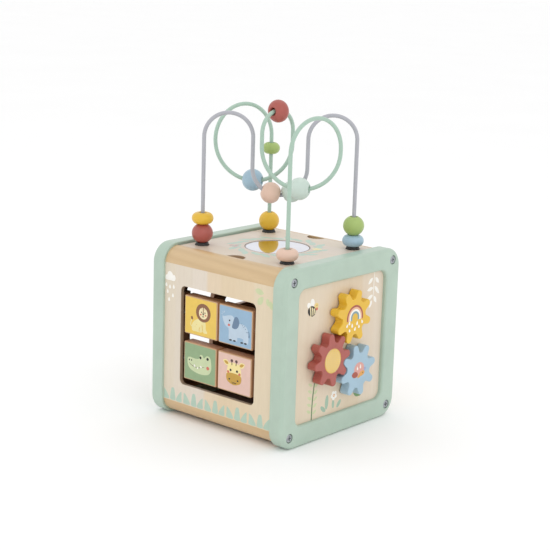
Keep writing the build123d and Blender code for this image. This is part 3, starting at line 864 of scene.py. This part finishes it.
# ---------------------------------------------------------------- finishes on the CAD nodes
def finish_nodes():
    sage = paint("sage_paint", srgb(179, 200, 184), gloss=0.40, coat=0.3)
    steel = plated_steel("zinc_steel")
    black = moulded_plastic("black_plastic", srgb(28, 25, 24))
    # Inside boards, rod cheeks and spindles: the brown of unfinished board, made darker still as painted
    # shade for the shut-in inside of the cube.
    inner = wood("inner_wood", srgb(112, 80, 56), "z", contrast=0.16, coat=0.0, gloss=0.6)
    tile_side = srgb(205, 152, 112)
    tile = wood("tile_wood", srgb(214, 178, 138), "x", contrast=0.14, coat=0.05,
                core=("y", lowest("tile_upper_left").y, tile_side))
    rail = wood("rail_wood", srgb(220, 190, 146), "x", contrast=0.09, gloss=0.38, coat=0.3, lines=0.11)

    def board(node, along, plank_axis, tones, out_axis, face_at, raw=RAW_BOARD):
        return wood(node + "_board", CREAM_BOARD, along, contrast=0.07,
                    plank=panel_planks(node, plank_axis, tones), core=(out_axis, face_at, raw))

    front = board("front_panel", "z", "x", front_tones, "y", lowest("front_panel").y, WINDOW_EDGE)
    back = board("back_panel", "z", "x", front_tones, "y", highest("back_panel").y)
    gear_side = board("gear_panel", "z", "y", side_tones, "x", highest("gear_panel").x)
    sorter_side = board("sorter_panel", "z", "y", side_tones, "x", lowest("sorter_panel").x)
    lid = board("lid_panel", "x", "y", lid_tones, "z", highest("lid_panel").z, srgb(182, 152, 122))
    colours = {
        "red": paint("red_paint", srgb(173, 85, 75), along="z"),
        "yellow": paint("yellow_paint", srgb(234, 188, 50), along="z"),
        "blue": paint("blue_paint", srgb(164, 194, 212), along="z"),
        "green": paint("green_paint", srgb(166, 190, 108), along="z"),
        "peach": paint("peach_paint", srgb(231, 197, 177), along="z"),
        "mint": paint("mint_paint", srgb(205, 222, 212), along="z"),
    }
    by_start = {
        "frame_screws": steel, "tile_rod": steel, "frame_": sage, "rail_": rail, "front_panel": front,
        "back_panel": back, "base_panel": inner, "rod_cheek": inner, "sorter_panel": sorter_side,
        "gear_panel": gear_side, "gear_washers": black, "spindle": inner, "retainer": black,
        "lid_panel": lid, "mirror": acrylic_mirror("acrylic_mirror"),
        "wire_grey": coated_wire("grey_coating", srgb(178, 179, 186)),
        "wire_green": coated_wire("green_coating", srgb(172, 200, 183)),
        "wire_collars": black, "wire_end_caps": black, "tile_": tile,
    }
    for name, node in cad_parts.items():
        found = [material for start, material in by_start.items() if name.startswith(start)]
        material = found[0] if found else colours[name.split("_")[-1]]
        node.data.materials.clear()
        node.data.materials.append(material)


# ---------------------------------------------------------------- floor, light and camera
def make_floor():
    """A wide round floor in matt white, a little below the cube's feet so that nothing is coplanar."""
    bm = bmesh.new()
    bmesh.ops.create_circle(bm, cap_ends=True, segments=96, radius=14.0)
    mesh = bpy.data.meshes.new("floor")
    bm.to_mesh(mesh)
    bm.free()
    floor = bpy.data.objects.new("floor", mesh)
    floor.location.z = cad_low.z - 0.0001
    bpy.context.scene.collection.objects.link(floor)
    s = Shader("floor_paint")
    haze = s.noise(3.0, detail=2.0)
    s.colour(s.mix(s.between(haze, 0.0, 1.0), (0.985, 0.985, 0.985, 1.0), (0.995, 0.995, 0.995, 1.0)))
    s.set(Roughness=0.9)
    mesh.materials.append(s.material)


def add_light(name, at, towards, size, watts, tint=(1.0, 1.0, 1.0)):
    data = bpy.data.lights.new(name, "AREA")
    data.shape = "RECTANGLE"
    data.size, data.size_y = size
    data.energy = watts
    data.color = tint
    light = bpy.data.objects.new(name, data)
    light.location = at
    light.rotation_mode = "QUATERNION"
    light.rotation_quaternion = (Vector(towards) - Vector(at)).to_track_quat("-Z", "Y")
    bpy.context.scene.collection.objects.link(light)


def make_light():
    world = bpy.data.worlds.new("studio")
    world.use_nodes = True
    background = world.node_tree.nodes["Background"]
    background.inputs["Color"].default_value = (1.0, 1.0, 1.0, 1.0)
    background.inputs["Strength"].default_value = 1.0
    bpy.context.scene.world = world
    aim = (CUBE_X, 0.0, 0.15)
    add_light("key_right", (1.5, -0.7, 1.3), aim, (1.0, 1.0), 2.2)
    add_light("fill_left", (-0.9, -1.6, 1.2), aim, (1.2, 1.0), 0.8)
    add_light("top", (0.0, 0.2, 1.9), aim, (1.4, 1.4), 1.6)


def make_camera():
    """The camera's place as an angle round the cube, a height angle, a slight roll and a long lens."""
    azimuth, elevation, roll = radians(40.91), radians(13.12), radians(1.77)
    distance = 1.6285
    aim = Vector((CUBE_X - 0.0013, -0.0012, 0.1640))
    back = Vector((sin(azimuth) * cos(elevation), -cos(azimuth) * cos(elevation), sin(elevation)))
    right = Vector((0, 0, 1)).cross(back).normalized()
    up = back.cross(right)
    rolled_right = right * cos(roll) + up * sin(roll)
    rolled_up = up * cos(roll) - right * sin(roll)
    data = bpy.data.cameras.new("camera")
    data.lens = 93.44
    data.sensor_width = 36.0
    data.clip_start, data.clip_end = 0.05, 60.0
    camera = bpy.data.objects.new("camera", data)
    turn = Matrix((rolled_right, rolled_up, back)).transposed().to_4x4()
    camera.matrix_world = Matrix.Translation(aim + back * distance) @ turn
    bpy.context.scene.collection.objects.link(camera)
    bpy.context.scene.camera = camera


finish_nodes()
print_tiles()
print_front()
print_back()
print_gear_side()
print_sorter_side()
print_gears()
print_lid()
make_floor()
make_light()
make_camera()
bpy.context.scene.view_settings.view_transform = "Standard"
